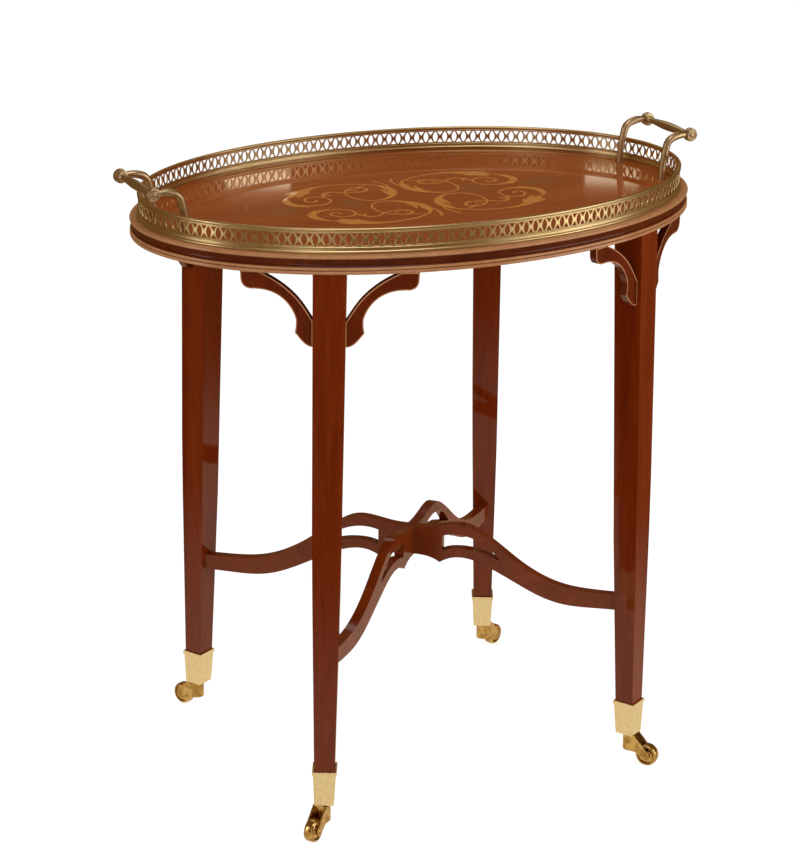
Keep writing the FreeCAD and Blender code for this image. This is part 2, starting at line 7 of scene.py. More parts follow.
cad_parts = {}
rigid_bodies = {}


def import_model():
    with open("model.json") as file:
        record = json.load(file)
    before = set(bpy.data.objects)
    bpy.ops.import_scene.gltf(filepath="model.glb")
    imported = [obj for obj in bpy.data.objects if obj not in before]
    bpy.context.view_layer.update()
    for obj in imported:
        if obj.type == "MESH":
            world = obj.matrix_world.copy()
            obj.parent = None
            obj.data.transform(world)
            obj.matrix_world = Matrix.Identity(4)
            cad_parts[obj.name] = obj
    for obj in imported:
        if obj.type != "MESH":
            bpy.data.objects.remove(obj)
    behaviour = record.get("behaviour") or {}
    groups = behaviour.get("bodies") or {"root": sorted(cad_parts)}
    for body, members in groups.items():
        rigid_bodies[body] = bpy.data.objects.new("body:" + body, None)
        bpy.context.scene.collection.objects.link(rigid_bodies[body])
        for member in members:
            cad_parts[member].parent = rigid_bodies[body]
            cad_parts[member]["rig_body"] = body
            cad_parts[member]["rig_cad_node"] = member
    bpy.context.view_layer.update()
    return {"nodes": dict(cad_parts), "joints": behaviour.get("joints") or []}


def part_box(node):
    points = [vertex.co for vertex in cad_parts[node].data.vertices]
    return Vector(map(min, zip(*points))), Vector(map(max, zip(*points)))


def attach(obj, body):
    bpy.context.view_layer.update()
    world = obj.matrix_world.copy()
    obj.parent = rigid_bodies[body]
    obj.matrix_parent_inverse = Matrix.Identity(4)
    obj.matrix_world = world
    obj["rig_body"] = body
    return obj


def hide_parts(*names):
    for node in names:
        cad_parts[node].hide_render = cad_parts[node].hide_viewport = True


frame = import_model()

mm = 0.001
nodes = frame["nodes"]
legSides = {"front_left": (-1, -1), "rear_left": (-1, 1), "rear_right": (1, 1), "front_right": (1, -1)}

# the tray's oval, and the heights that its rings stand at
boardLow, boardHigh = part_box("tray_board")
ovalHalfLength = boardHigh.x
ovalHalfWidth = boardHigh.y
seamHeight = boardLow.z
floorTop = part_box("marquetry_panel")[1].z
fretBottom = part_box("gallery_fret")[0].z
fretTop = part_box("gallery_fret")[1].z
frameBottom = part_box("frieze_bead")[0].z
weldGap = 0.002 * mm


def clearSelection():
    if bpy.context.object is not None and bpy.context.object.mode == "EDIT":
        bpy.ops.object.mode_set(mode="OBJECT")
    bpy.ops.object.select_all(action="DESELECT")


def pick(*pieces):
    clearSelection()
    for piece in pieces:
        piece.select_set(True)
    bpy.context.view_layer.objects.active = pieces[0]


def openMesh(piece, mode="VERT", everything=False):
    pick(piece)
    bpy.ops.object.mode_set(mode="EDIT")
    bpy.ops.mesh.select_mode(type=mode)
    bpy.ops.mesh.select_all(action="SELECT" if everything else "DESELECT")


def closeMesh():
    bpy.ops.object.mode_set(mode="OBJECT")


def deselectFaces(piece):
    openMesh(piece, "FACE")
    closeMesh()


def weld(piece, distance=weldGap):
    openMesh(piece, everything=True)
    bpy.ops.mesh.remove_doubles(threshold=distance)
    bpy.ops.mesh.normals_make_consistent(inside=False)
    closeMesh()


def settle(piece):
    pick(piece)
    bpy.ops.object.transform_apply(location=True, rotation=True, scale=True)


def change(piece, kind, **settings):
    pick(piece)
    bpy.ops.object.modifier_add(type=kind)
    modifier = piece.modifiers[-1]
    for name, value in settings.items():
        setattr(modifier, name, value)
    bpy.ops.object.modifier_apply(modifier=modifier.name)


def easeEdges(piece, width, segments=2, angle=32):
    change(piece, "BEVEL", width=width, segments=segments, limit_method="ANGLE",
           angle_limit=math.radians(angle), use_clamp_overlap=True)


def smooth(piece, angle=34):
    pick(piece)
    bpy.ops.object.shade_smooth_by_angle(angle=math.radians(angle))


def smoothFlats(piece):  # the wide faces stay flat beside their eased edges
    smooth(piece)
    change(piece, "WEIGHTED_NORMAL", keep_sharp=True, weight=80)


def joined(pieces, name):
    pick(*pieces)
    if len(pieces) > 1:
        bpy.ops.object.join()
    whole = bpy.context.object
    whole.name = name
    whole.data.name = name
    return whole


def nodeCopy(node, name, flatAngle=0.6):
    pick(nodes[node])
    bpy.ops.object.duplicate()
    piece = bpy.context.object
    piece.name = name
    piece.data.name = name
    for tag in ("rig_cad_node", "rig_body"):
        del piece[tag]
    piece.parent = None
    piece.data.materials.clear()
    openMesh(piece, everything=True)
    bpy.ops.mesh.customdata_custom_splitnormals_clear()
    bpy.ops.mesh.remove_doubles(threshold=weldGap)
    bpy.ops.mesh.dissolve_limited(angle_limit=math.radians(flatAngle))
    closeMesh()
    return piece


def fit(piece, body, slot, finish, *stoodFor):
    if finish is not None:
        piece.data.materials.clear()
        piece.data.materials.append(finish)
    if stoodFor:
        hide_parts(*stoodFor)
    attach(piece, body)


def easedNode(node, name, body, slot, finish, edge, segments=2):
    piece = nodeCopy(node, name)
    easeEdges(piece, edge, segments)
    smoothFlats(piece)
    fit(piece, body, slot, finish, node)


def finishNode(node, finish):
    piece = nodes[node]
    piece.data.materials.clear()
    piece.data.materials.append(finish)


def fill(tree, node, inputs):  # each input takes a value, or the output that feeds it
    for label, value in inputs.items():
        if hasattr(value, "links"):
            tree.links.new(value, node.inputs[label])
        else:
            node.inputs[label].default_value = value


def addNode(tree, kind, inputs, **settings):
    node = tree.nodes.new("ShaderNode" + kind)
    for name, value in settings.items():
        setattr(node, name, value)
    fill(tree, node, inputs)
    return node


def addMath(tree, operation, first, second=0.0):
    return addNode(tree, "Math", {0: first, 1: second}, operation=operation).outputs[0]


def addRange(tree, value, low, high, toLow=0.0, toHigh=1.0, curve="LINEAR"):
    limits = {"From Min": low, "From Max": high, "To Min": toLow, "To Max": toHigh}
    return addNode(tree, "MapRange", {"Value": value, **limits}, interpolation_type=curve).outputs["Result"]


def addBlend(tree, factor, first, second, mode="MIX"):
    inputs = {0: factor, 6: first, 7: second}  # 6 and 7 are the colours, as output 2 is
    return addNode(tree, "Mix", inputs, data_type="RGBA", blend_type=mode).outputs[2]


def addNoise(tree, place, scale, detail, roughness, distortion=0.0):
    look = {"Scale": scale, "Detail": detail, "Roughness": roughness, "Distortion": distortion}
    return addNode(tree, "TexNoise", {"Vector": place, **look}).outputs["Fac"]


def grey(level):
    return (level, level, level, 1)


view = {
    "azimuth": -27.65, "elevation": 19.39, "roll": 0.63,
    "place": (-1.4106, -2.6586, 1.4783), "lens": 115.28, "sensor": 36.0, "near": 0.05, "far": 200,
}


def addCamera(spec):
    azimuth, elevation, roll = (math.radians(spec[k]) for k in ("azimuth", "elevation", "roll"))
    back = Vector((math.sin(azimuth) * math.cos(elevation), -math.cos(azimuth) * math.cos(elevation),
                   math.sin(elevation)))
    right = Vector((math.cos(azimuth), math.sin(azimuth), 0))
    rise = back.cross(right)
    across = right * math.cos(roll) + rise * math.sin(roll)
    above = rise * math.cos(roll) - right * math.sin(roll)
    bpy.ops.object.camera_add(location=spec["place"])
    camera = bpy.context.object
    turn = Matrix((across, above, back)).transposed().to_4x4()
    camera.matrix_world = Matrix.Translation(spec["place"]) @ turn
    camera.data.sensor_fit = "HORIZONTAL"
    camera.data.sensor_width = spec["sensor"]
    camera.data.lens = spec["lens"]
    camera.data.clip_start = spec["near"]
    camera.data.clip_end = spec["far"]
    bpy.context.scene.camera = camera


# tall soft panels round the table, with the azimuth counted from the front
leftSide = {"distance": 2.78, "foot": 0.015, "head": 2.1}
rightSide = {"azimuth": 47, "distance": 2.75, "width": 1.85, "radiance": 2.7}
panels = {
    "leftPanel": {"azimuth": -88, "width": 0.70, "radiance": 2.6, **leftSide},
    "cameraPanel": {"azimuth": -38, "width": 0.36, "radiance": 2.2, **leftSide},
    "rightPanel": {**rightSide, "foot": 0.02, "head": 1.0},
    # mirrored, this one would whiten the polished tray seen from behind
    "rightMiddlePanel": {**rightSide, "foot": 1.0, "head": 1.36, "mirrored": False},
    "rightUpperPanel": {**rightSide, "foot": 1.36, "head": 2.1},
}
overheads = {
    "frontOverhead": {"place": (-0.3, -0.9, 2.6), "size": 1.3, "radiance": 2.2},
    "rearOverhead": {"place": (0.5, 1.3, 2.1), "size": 1.0, "radiance": 1.2},
}
# small soft lamps behind the table that only show as gleams in the polish of the tray
gleams = {
    "leftGleam": {"place": (0.494, 1.555, 1.092), "azimuth": 65.67, "size": (0.12, 0.03), "radiance": 2.3},
    "rightGleam": {"place": (1.092, 1.280, 1.088), "azimuth": 57.77, "size": (0.10, 0.03), "radiance": 1.6},
}
gleamTilt = 76
gleamColour = (1.0, 0.85, 0.60)
# the near colour is a painted pool of light on the floor round the table, seen only in reflections
surroundings = {
    "ambient": 0.72, "shine": (0.19, 0.105, 0.040), "paintedPatchGlow": (0.76, 0.63, 0.46), "nearEdge": 0.5,
    "farEdge": 1.25, "floorSize": 60, "floorGlow": 0.86, "floorLit": 0.24, "floorTone": 0.75,
}


def addLamp(name, place, turn, width, height, radiance):
    bpy.ops.object.light_add(type="AREA", location=place, rotation=turn)
    lamp = bpy.context.object
    lamp.name = name
    lamp.data.shape = "RECTANGLE"
    lamp.data.size = width
    lamp.data.size_y = height
    lamp.data.energy = radiance * math.pi * width * height
    lamp.visible_camera = False
    return lamp


def addPanel(name, spec):
    azimuth = math.radians(spec["azimuth"])
    place = (math.sin(azimuth) * spec["distance"], -math.cos(azimuth) * spec["distance"],
             (spec["head"] + spec["foot"]) / 2)
    lamp = addLamp(name, place, (math.radians(90), 0, azimuth), spec["width"], spec["head"] - spec["foot"],
                   spec["radiance"])
    lamp.visible_glossy = spec.get("mirrored", True)


def addGleam(name, spec):
    turn = (math.radians(gleamTilt), 0, math.radians(spec["azimuth"] + 90))
    lamp = addLamp(name, spec["place"], turn, *spec["size"], spec["radiance"])
    lamp.data.color = gleamColour
    lamp.visible_diffuse = False


def clearShare(tree):  # what the camera sees straight or through something clear
    path = addNode(tree, "LightPath", {})
    clear = addMath(tree, "ADD", path.outputs["Is Camera Ray"], path.outputs["Is Transmission Ray"])
    return clear, path.outputs["Is Glossy Ray"]


def paintedLitPatch(tree, spec):  # a painted pool of light on the floor, seen only in reflections: bright round the table, falling off into a dim warm room
    where = addNode(tree, "TexCoord", {})
    reach = addNode(tree, "VectorMath", {0: where.outputs["Object"]}, operation="LENGTH")
    fall = addRange(tree, reach.outputs["Value"], spec["nearEdge"], spec["farEdge"], curve="SMOOTHSTEP")
    return addBlend(tree, fall, (*spec["paintedPatchGlow"], 1), (*spec["shine"], 1))


def setWorld(spec):
    world = bpy.data.worlds.new("studio")
    bpy.context.scene.world = world
    world.use_nodes = True
    tree = world.node_tree
    clear, glossy = clearShare(tree)
    level = addBlend(tree, clear, grey(spec["ambient"]), grey(1.0))
    tone = addBlend(tree, glossy, level, (*spec["shine"], 1))
    tree.links.new(tone, tree.nodes["Background"].inputs["Color"])


def addFloor(spec):
    bpy.ops.mesh.primitive_plane_add(size=spec["floorSize"])
    floor = bpy.context.object
    floor.name = "studio_floor"
    finish = bpy.data.materials.new("studioPaper")
    finish.use_nodes = True
    tree = finish.node_tree
    tree.nodes.clear()
    clear, glossy = clearShare(tree)
    paper = addNode(tree, "BsdfDiffuse", {"Color": grey(spec["floorTone"])})
    dim = addNode(tree, "BsdfDiffuse", {"Color": grey(spec["floorLit"])})
    glow = addNode(tree, "Emission", {"Strength": spec["floorGlow"]})
    both = addNode(tree, "AddShader", {0: dim.outputs[0], 1: glow.outputs[0]})
    seen = addNode(tree, "MixShader", {0: clear, 1: paper.outputs[0], 2: both.outputs[0]})
    # in reflections the floor glows with a painted pool of light round the table
    mirrored = addNode(tree, "Emission", {"Color": paintedLitPatch(tree, spec)})
    whole = addNode(tree, "MixShader", {0: glossy, 1: seen.outputs[0], 2: mirrored.outputs[0]})
    addNode(tree, "OutputMaterial", {"Surface": whole.outputs[0]})
    floor.data.materials.append(finish)


addCamera(view)
for panelName, panelSpec in panels.items():
    addPanel(panelName, panelSpec)
for lampName, lampSpec in overheads.items():
    lampSize = lampSpec["size"]
    addLamp(lampName, lampSpec["place"], (0, 0, 0), lampSize, lampSize, lampSpec["radiance"])
for gleamName, gleamSpec in gleams.items():
    addGleam(gleamName, gleamSpec)
setWorld(surroundings)
addFloor(surroundings)
bpy.context.scene.view_settings.view_transform = "Standard"
print("camera, lamps and floor are set")


def newGroup(name, inputs, outputs):
    group = bpy.data.node_groups.new(name, "ShaderNodeTree")
    for way, sockets in (("INPUT", inputs), ("OUTPUT", outputs)):
        for label, kind in sockets.items():
            group.interface.new_socket(name=label, in_out=way, socket_type="NodeSocket" + kind)
    return group, group.nodes.new("NodeGroupInput").outputs, group.nodes.new("NodeGroupOutput")


surfaceOutputs = {"Color": "Color", "Roughness": "Float", "Height": "Float"}
grain = {
    "streaksPerFigure": 9.0, "figureShare": 0.6, "streakShare": 0.4, "contrast": (0.36, 0.66),
    "streakRange": (0.3, 0.7), "gloss": (0.30, 0.42), "poreScale": 1500.0, "poreRange": (0.30, 0.46),
    "poreShade": (0.72, 1.0), "bump": 0.04, "bumpDepth": 0.05 * mm,
}
wear = {"fineScale": 260.0, "cloudShare": 0.6, "fineShare": 0.4, "contrast": (0.38, 0.64),
        "bumpDepth": 0.1 * mm}
patches = {  # the clouds' places on either side along X, and their middle along Y
    "places": (0.175, 0.083), "middle": 0.005, "narrow": 1.3, "reach": 0.030, "ragged": 40.0,
    "fade": (0.45, 1.5), "share": 0.7, "colour": (0.165, 0.080, 0.022),
}


def makeWoodGrain():
    group, inlet, outlet = newGroup(
        "woodGrain", {"Place": "Vector", "Pale": "Color", "Deep": "Color", "Figure": "Float"}, surfaceOutputs)
    place = inlet["Place"]
    figure = addNoise(group, place, inlet["Figure"], detail=4, roughness=0.6, distortion=0.8)
    streakScale = addMath(group, "MULTIPLY", inlet["Figure"], grain["streaksPerFigure"])
    streaks = addNoise(group, place, streakScale, detail=3, roughness=0.6)
    pores = addNoise(group, place, grain["poreScale"], detail=2, roughness=0.5)
    mixed = addMath(group, "ADD", addMath(group, "MULTIPLY", figure, grain["figureShare"]),
                    addMath(group, "MULTIPLY", streaks, grain["streakShare"]))
    colour = addBlend(group, addRange(group, mixed, *grain["contrast"]), inlet["Deep"], inlet["Pale"])
    poreShade = addRange(group, pores, *grain["poreRange"], *grain["poreShade"])
    dark = addNode(group, "CombineColor", {channel: poreShade for channel in range(3)})
    colour = addBlend(group, 1.0, colour, dark.outputs[0], "MULTIPLY")
    rough = addRange(group, streaks, *grain["streakRange"], *grain["gloss"])
    fill(group, outlet, {"Color": colour, "Roughness": rough, "Height": poreShade})
    return group


def makeBrassWear():
    group, inlet, outlet = newGroup(
        "brassWear", {"Place": "Vector", "Bright": "Color", "Dull": "Color", "Clouds": "Float",
                      "Gloss": "Float", "Spread": "Float"}, surfaceOutputs)
    clouds = addNoise(group, inlet["Place"], inlet["Clouds"], detail=1, roughness=0.4, distortion=0.2)
    fine = addNoise(group, inlet["Place"], wear["fineScale"], detail=1, roughness=0.5)
    share = addRange(group, clouds, *wear["contrast"])
    uneven = addMath(group, "ADD", addMath(group, "MULTIPLY", share, wear["cloudShare"]),
                     addMath(group, "MULTIPLY", fine, wear["fineShare"]))
    rough = addMath(group, "ADD", inlet["Gloss"], addMath(group, "MULTIPLY", inlet["Spread"], uneven))
    colour = addBlend(group, share, inlet["Bright"], inlet["Dull"])
    fill(group, outlet, {"Color": colour, "Roughness": rough, "Height": fine})
    return group


def makeSoftPatches():  # faint olive clouds left and right of the middle of the veneer
    group, inlet, outlet = newGroup("softPatches", {"Place": "Vector"}, {"Mask": "Float"})
    apart = addNode(group, "SeparateXYZ", {0: inlet["Place"]})
    sideways = addMath(group, "ABSOLUTE", apart.outputs["X"])
    uneven = addNoise(group, inlet["Place"], patches["ragged"], detail=2, roughness=0.5)
    fromMiddle = addMath(group, "SUBTRACT", apart.outputs["Y"], patches["middle"])
    alongY = addMath(group, "MULTIPLY", fromMiddle, patches["narrow"])
    masks = []
    for place in patches["places"]:
        off = addMath(group, "SUBTRACT", sideways, place)
        reach = addMath(group, "SQRT", addMath(group, "ADD", addMath(group, "MULTIPLY", off, off),
                                               addMath(group, "MULTIPLY", alongY, alongY)))
        share = addMath(group, "DIVIDE", reach, patches["reach"])
        masks.append(addRange(group, addMath(group, "ADD", share, uneven), *patches["fade"], 1.0, 0.0))
    fill(group, outlet, {"Mask": addMath(group, "MAXIMUM", *masks)})
    return group


woodGrain = makeWoodGrain()
brassWear = makeBrassWear()
softPatches = makeSoftPatches()


def placedOn(tree, stretch=(1, 1, 1), turn=(0, 0, 0)):
    where = addNode(tree, "TexCoord", {})
    return addNode(tree, "Mapping", {"Vector": where.outputs["Object"], "Scale": stretch,
                                     "Rotation": [math.radians(a) for a in turn]}).outputs["Vector"]


def addBump(tree, height, strength, depth):
    inputs = {"Strength": strength, "Distance": depth, "Height": height}
    return addNode(tree, "Bump", inputs).outputs["Normal"]


plainWood = {"turn": (0, 0, 0), "figure": 28.0, "coat": 0.8, "coatRoughness": 0.12, "patched": False}


def woodFinish(name, ownSpec):
    spec = {**plainWood, **ownSpec}
    finish = bpy.data.materials.new(name)
    finish.use_nodes = True
    tree = finish.node_tree
    wood = addNode(tree, "Group", {
        "Place": placedOn(tree, spec["stretch"], spec["turn"]), "Pale": (*spec["pale"], 1),
        "Deep": (*spec["deep"], 1), "Figure": spec["figure"]}, node_tree=woodGrain)
    colour = wood.outputs["Color"]
    if spec["patched"]:
        clouds = addNode(tree, "Group", {"Place": placedOn(tree)}, node_tree=softPatches)
        share = addMath(tree, "MULTIPLY", clouds.outputs["Mask"], patches["share"])
        colour = addBlend(tree, share, colour, (*patches["colour"], 1))
    fill(tree, tree.nodes["Principled BSDF"], {
        "Base Color": colour, "Roughness": wood.outputs["Roughness"],
        "Normal": addBump(tree, wood.outputs["Height"], grain["bump"], grain["bumpDepth"]),
        "Specular IOR Level": 0.0,  # only the polish over the wood shines
        "Coat Weight": spec["coat"], "Coat Roughness": spec["coatRoughness"]})
    return finish


def brassFinish(name, spec):
    finish = bpy.data.materials.new(name)
    finish.use_nodes = True
    tree = finish.node_tree
    metal = addNode(tree, "Group", {
        "Place": placedOn(tree), "Bright": (*spec["bright"], 1), "Dull": (*spec["dull"], 1),
        "Clouds": spec["clouds"], "Gloss": spec["gloss"], "Spread": spec["spread"]}, node_tree=brassWear)
    fill(tree, tree.nodes["Principled BSDF"], {
        "Base Color": metal.outputs["Color"], "Roughness": metal.outputs["Roughness"], "Metallic": 1.0,
        "Normal": addBump(tree, metal.outputs["Height"], spec["bump"], wear["bumpDepth"])})
    return finish


stretcherTone = {"pale": (0.190, 0.0290, 0.0035), "deep": (0.120, 0.0140, 0.0015)}
woods = {
    "mahoganyLeg": {"stretch": (1, 1, 0.06), "pale": (0.180, 0.0220, 0.0022), "deep": (0.110, 0.0100, 0.0009),
                    "coatRoughness": 0.05},
    "mahoganyBracket": {"stretch": (1, 1, 0.12), "turn": (0, 35, 0), "pale": (0.125, 0.0150, 0.0016),
                        "deep": (0.080, 0.0080, 0.0008)},
    "mahoganyStretcherLeft": {"stretch": (0.08, 1, 1), "turn": (0, 0, -40.5), **stretcherTone},
    "mahoganyStretcherRight": {"stretch": (0.08, 1, 1), "turn": (0, 0, 40.5), **stretcherTone},
    "mahoganyMoulding": {"stretch": (1, 1, 1.6), "pale": (0.110, 0.017, 0.0022),
                         "deep": (0.060, 0.0075, 0.0010), "figure": 14.0, "coat": 0.5, "coatRoughness": 0.20},
    "mahoganyBoard": {"stretch": (0.08, 1, 1), "pale": (0.230, 0.060, 0.014), "deep": (0.120, 0.024, 0.005),
                      "coat": 0.15, "coatRoughness": 0.35},
    "beechFrame": {"stretch": (0.08, 1, 1), "pale": (0.42, 0.25, 0.12), "deep": (0.30, 0.16, 0.07),
                   "coat": 0.1},
    "boxwoodString": {"stretch": (1, 1, 0.2), "pale": (0.50, 0.24, 0.11), "deep": (0.38, 0.16, 0.07)},
    # paler wood on the beads, made light enough to hold painted highlight lines along them too
    "beadWoodAndHighlight": {"stretch": (1, 1, 1.0), "pale": (0.44, 0.200, 0.085), "deep": (0.34, 0.140, 0.055),
                 "figure": 14.0, "coat": 0.9, "coatRoughness": 0.14},
    "tableVeneer": {"stretch": (0.10, 1, 1), "pale": (0.285, 0.056, 0.0085), "deep": (0.200, 0.032, 0.0040),
                    "figure": 16.0, "coat": 1.0, "coatRoughness": 0.06, "patched": True},
    "satinwoodScroll": {"stretch": (0.25, 1, 1), "turn": (0, 0, 20), "pale": (0.50, 0.195, 0.040),
                        "deep": (0.40, 0.140, 0.026), "figure": 40.0, "coat": 1.0, "coatRoughness": 0.06},
    "faintString": {"stretch": (0.25, 1, 1), "pale": (0.33, 0.094, 0.024), "deep": (0.27, 0.068, 0.016),
                    "coat": 1.0, "coatRoughness": 0.06},
}
brasses = {
    "galleryBrass": {"bright": (0.72, 0.56, 0.290), "dull": (0.62, 0.465, 0.220), "clouds": 14.0,
                     "gloss": 0.29, "spread": 0.04, "bump": 0.0},
    "handleBrass": {"bright": (0.64, 0.49, 0.290), "dull": (0.54, 0.395, 0.220), "clouds": 22.0,
                    "gloss": 0.36, "spread": 0.04, "bump": 0.0},
    "socketBrass": {"bright": (1.0, 0.88, 0.560), "dull": (0.93, 0.78, 0.460), "clouds": 330.0,
                    "gloss": 0.26, "spread": 0.14, "bump": 0.08},
    "casterBrass": {"bright": (0.74, 0.50, 0.190), "dull": (0.46, 0.28, 0.085), "clouds": 110.0,
                    "gloss": 0.14, "spread": 0.12, "bump": 0.10},
    "screwSteel": {"bright": (0.50, 0.49, 0.47), "dull": (0.30, 0.29, 0.28), "clouds": 200.0,
                   "gloss": 0.30, "spread": 0.2, "bump": 0.05},
}
finishes = {name: woodFinish(name, spec) for name, spec in woods.items()}
finishes.update({name: brassFinish(name, spec) for name, spec in brasses.items()})
print("finishes are made")


def arcThrough(start, middle, end, steps):  # about the centre of the circle through the three
    ax, ay, bx, by, cx, cy = *start, *middle, *end
    d = 2 * (ax * (by - cy) + bx * (cy - ay) + cx * (ay - by))
    ux = ((ax**2 + ay**2) * (by - cy) + (bx**2 + by**2) * (cy - ay) + (cx**2 + cy**2) * (ay - by)) / d
    uy = ((ax**2 + ay**2) * (cx - bx) + (bx**2 + by**2) * (ax - cx) + (cx**2 + cy**2) * (bx - ax)) / d
    radius = math.hypot(ax - ux, ay - uy)
    first, half, last = (math.atan2(y - uy, x - ux) for x, y in (start, middle, end))
    turn = 2 * math.pi
    sweep = (last - first) % turn
    if (half - first) % turn > sweep:
        sweep -= turn
    angles = [first + sweep * i / steps for i in range(1, steps + 1)]
    return [(ux + radius * math.cos(angle), uy + radius * math.sin(angle)) for angle in angles]


def traced(steps, perArc=6):  # two numbers are a corner; four are an arc through the first two
    points = [steps[0]]
    for step in steps[1:]:
        if len(step) == 4:
            points += arcThrough(points[-1], step[:2], step[2:], perArc)
        else:
            points.append(step)
    return points


def ovalPath(name, halfLength, halfWidth, steps=64):
    clearSelection()
    bpy.ops.curve.primitive_bezier_circle_add(radius=1)
    path = bpy.context.object
    path.name = name
    path.scale = (halfLength, halfWidth, 1)
    bpy.ops.object.transform_apply(location=False, rotation=False, scale=True)
    for point in path.data.splines[0].bezier_points:
        point.radius = 1.0  # applying the scale shrinks it
    path.data.resolution_u = steps
    path.data.twist_mode = "Z_UP"
    return path


def profileCurve(name, points):
    outline = bpy.data.curves.new(name, "CURVE")
    outline.dimensions = "2D"
    line = outline.splines.new("POLY")
    line.points.add(len(points) - 1)
    for point, (reach, height) in zip(line.points, points):
        point.co = (reach * mm, height * mm, 0, 1)
    line.use_cyclic_u = True
    holder = bpy.data.objects.new(name, outline)
    bpy.context.scene.collection.objects.link(holder)
    return holder


def sweptOval(name, halfLength, halfWidth, outline, bottom):
    path = ovalPath(name, halfLength, halfWidth)
    profile = profileCurve(name + "Profile", outline)
    path.data.bevel_mode = "OBJECT"
    path.data.bevel_object = profile
    pick(path)
    bpy.ops.object.convert(target="MESH")
    ring = bpy.context.object
    bpy.data.objects.remove(profile)
    ring.location.z = bottom
    settle(ring)
    weld(ring)
    return ring


def ovalRing(name, spec):
    outline = [(-reach, height) for reach, height in traced(spec["profile"])]
    ring = sweptOval(name, ovalHalfLength, ovalHalfWidth, outline, spec["bottom"])
    smooth(ring, angle=40)
    for face in ring.data.polygons:
        height = (face.center.z - spec["bottom"]) / mm
        face.material_index = int(any(low < height < high for low, high in spec.get("lines", ())))
    return ring


# a ring's profile is its reach out from the oval and its height above the bottom, in mm,
# and its lines are the heights that take the paler bead wood, whose colour also holds painted highlight lines
trayEdge = {
    "bottom": seamHeight,
    "profile": [(0, 0.2), (6.6, 0.2), (7.2, 0.2, 7.3, 0.9), (7.5, 3.4, 8.3, 7.2), (8.5, 7.9),
                (9.9, 9.4, 8.4, 11.3), (7.7, 11.6), (3.2, 12.0), (0, 12.0)],
    "lines": [(7.9, 12.5)],
}
friezeBead = {
    "bottom": frameBottom,
    "profile": [(0, 0), (7.0, 0), (9.8, 2.1, 8.5, 4.1), (8.2, 4.4), (8.5, 4.7), (9.7, 6.3, 8.2, 8.0),
                (7.4, 9.2), (7.0, 9.8), (0, 9.8)],
    "lines": [(0.05, 4.15), (4.65, 8.1)],
}
baseRail = {
    "bottom": floorTop,
    "profile": [(-3.2, 0), (0.7, 0), (1.5, 1.5, 0.8, 2.9), (0.2, 3.3), (0.0, 3.5), (0.0, 5.9), (0.3, 6.1),
                (0.7, 6.8, 0.2, 7.5), (0.0, 8.0), (-2.6, 8.0), (-2.5, 7.4), (-2.9, 6.8, -2.6, 6.0),
                (-2.6, 3.6), (-2.8, 3.3), (-3.4, 2.2, -3.2, 1.0)],
}
topRail = {
    "bottom": fretTop,
    "profile": [(-2.6, 0), (0.0, 0), (0.3, 0.5, 0.0, 1.0), (-0.1, 1.5), (0.1, 1.9), (0.55, 3.6, -1.3, 5.5),
                (-3.2, 3.6, -2.7, 1.9), (-2.5, 1.5), (-2.6, 1.0), (-2.9, 0.5, -2.6, 0)],
}
for ringName, ringSpec, ringBody, ringNode in (
        ("tray_edge_nosing", trayEdge, "tray", "tray_edge_moulding"),
        ("frieze_double_bead", friezeBead, "stand", "frieze_bead")):
    ring = ovalRing(ringName, ringSpec)
    ring.data.materials.append(finishes["mahoganyMoulding"])
    # the second finish is paler bead wood that also carries painted highlight lines
    ring.data.materials.append(finishes["beadWoodAndHighlight"])
    fit(ring, ringBody, "mahogany_moulding", None, ringNode)
fit(ovalRing("gallery_base_strip", baseRail), "tray", "gallery_brass", finishes["galleryBrass"],
    "gallery_base_rail")
fit(ovalRing("gallery_rim", topRail), "tray", "gallery_brass", finishes["galleryBrass"], "gallery_top_rail")
print("oval rings are swept")


fret = {
    "units": 148, "inset": 1.3 * mm, "thickness": 1.4 * mm, "edge": 0.22 * mm,
    "lensHalfWidth": 3.3 * mm, "lensHalfHeight": 7.1 * mm,
    "notchHalfWidth": 3.7 * mm, "notchPoint": 1.8 * mm, "notchBase": 7.0 * mm,
    "lensSides": 24, "cutDepth": 6 * mm, "endGap": 0.01 * mm, "weld": 0.05 * mm,
}


def cutAway(piece, cutter):
    change(piece, "BOOLEAN", object=cutter, operation="DIFFERENCE", solver="EXACT")
    pick(cutter)
    bpy.ops.object.delete()


def lensCutter(spec, x, z):
    half, tall = spec["lensHalfWidth"], spec["lensHalfHeight"]
    radius = (half**2 + tall**2) / (2 * half)
    sides = []
    for side in (1, -1):
        bpy.ops.mesh.primitive_cylinder_add(
            vertices=spec["lensSides"], radius=radius, depth=spec["cutDepth"],
            location=(x + side * (radius - half), 0, z), rotation=(math.radians(90), 0, 0))
        sides.append(bpy.context.object)
    change(sides[0], "BOOLEAN", object=sides[1], operation="INTERSECT", solver="EXACT")
    pick(sides[1])
    bpy.ops.object.delete()
    return sides[0]


def notchCutter(spec, x, z, side):
    height = spec["notchBase"] - spec["notchPoint"]
    bpy.ops.mesh.primitive_cylinder_add(
        vertices=3, radius=1, depth=spec["cutDepth"], location=(0, 0, 0), rotation=(math.radians(90), 0, 0))
    cutter = bpy.context.object
    settle(cutter)
    low = min(v.co.z for v in cutter.data.vertices)
    high = max(v.co.z for v in cutter.data.vertices)
    wide = max(v.co.x for v in cutter.data.vertices)
    cutter.scale = (spec["notchHalfWidth"] / wide, 1, -side * height / (high - low))
    settle(cutter)
    weld(cutter)
    tip = min if side > 0 else max
    cutter.location = (x, 0, z + side * spec["notchPoint"] - tip(v.co.z for v in cutter.data.vertices))
    settle(cutter)
    return cutter


